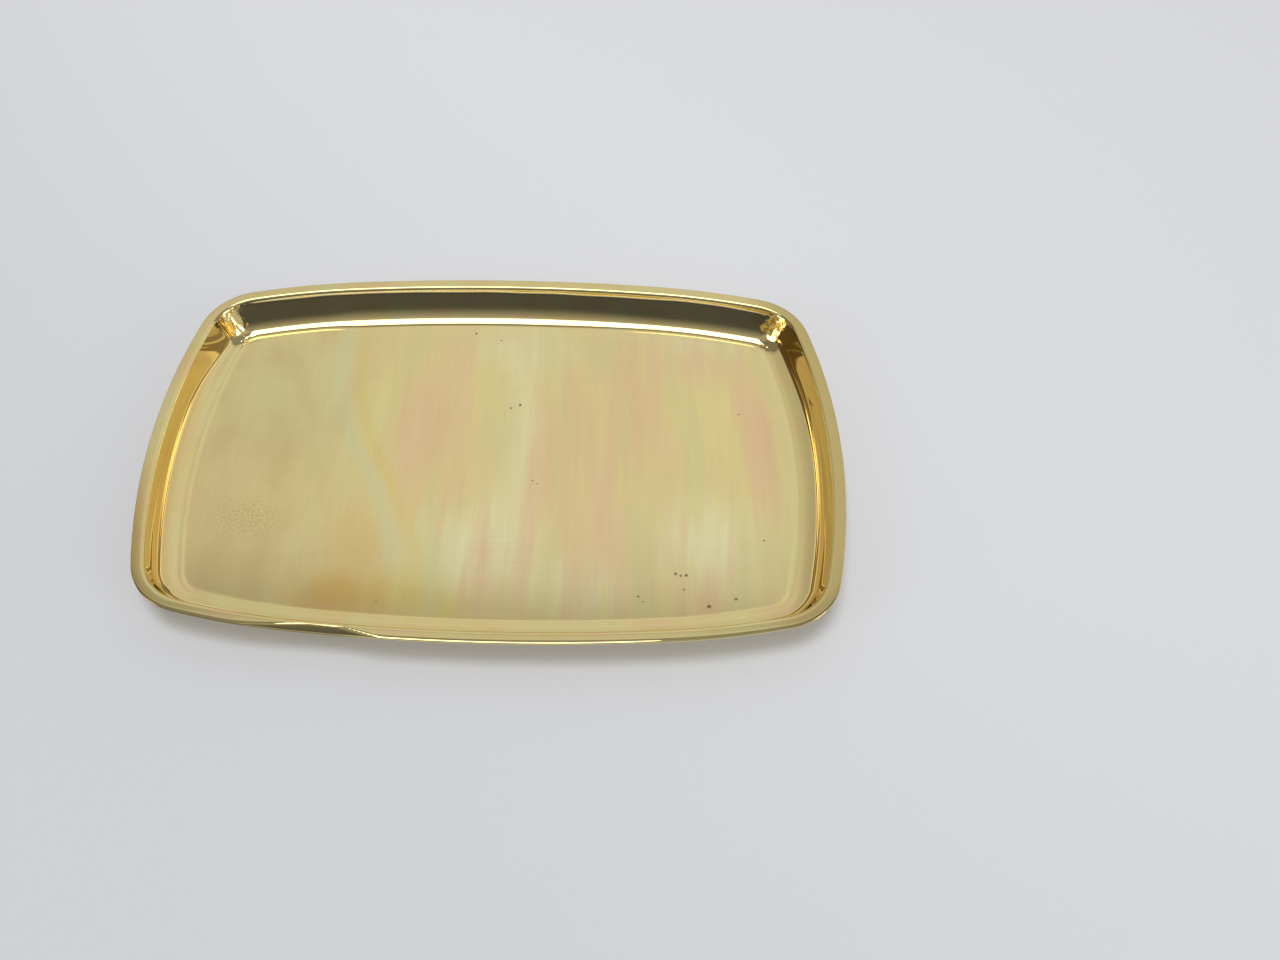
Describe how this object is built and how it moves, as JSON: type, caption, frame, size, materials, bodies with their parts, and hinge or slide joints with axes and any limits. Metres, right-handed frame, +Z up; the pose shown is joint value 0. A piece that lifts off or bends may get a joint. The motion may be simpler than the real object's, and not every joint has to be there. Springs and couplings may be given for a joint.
{
  "type": "coin tray",
  "caption": "Shallow rectangular tray with bulging sides, rounded corners, a slanted wall and a flat rim, pressed from sheet brass, for holding coins and small things.",
  "frame": {"origin": "on the surface that the tray stands on, under the middle of the tray", "axes": "+X along the long sides, +Y across the tray, +Z up out of the dish"},
  "size_m": [0.304, 0.194, 0.0163],
  "materials": {
    "polished_brass": "polished rim and wall, satin floor"
  },
  "bodies": {
    "root": {"tray_shell": "polished_brass"}
  },
  "joints": []
}
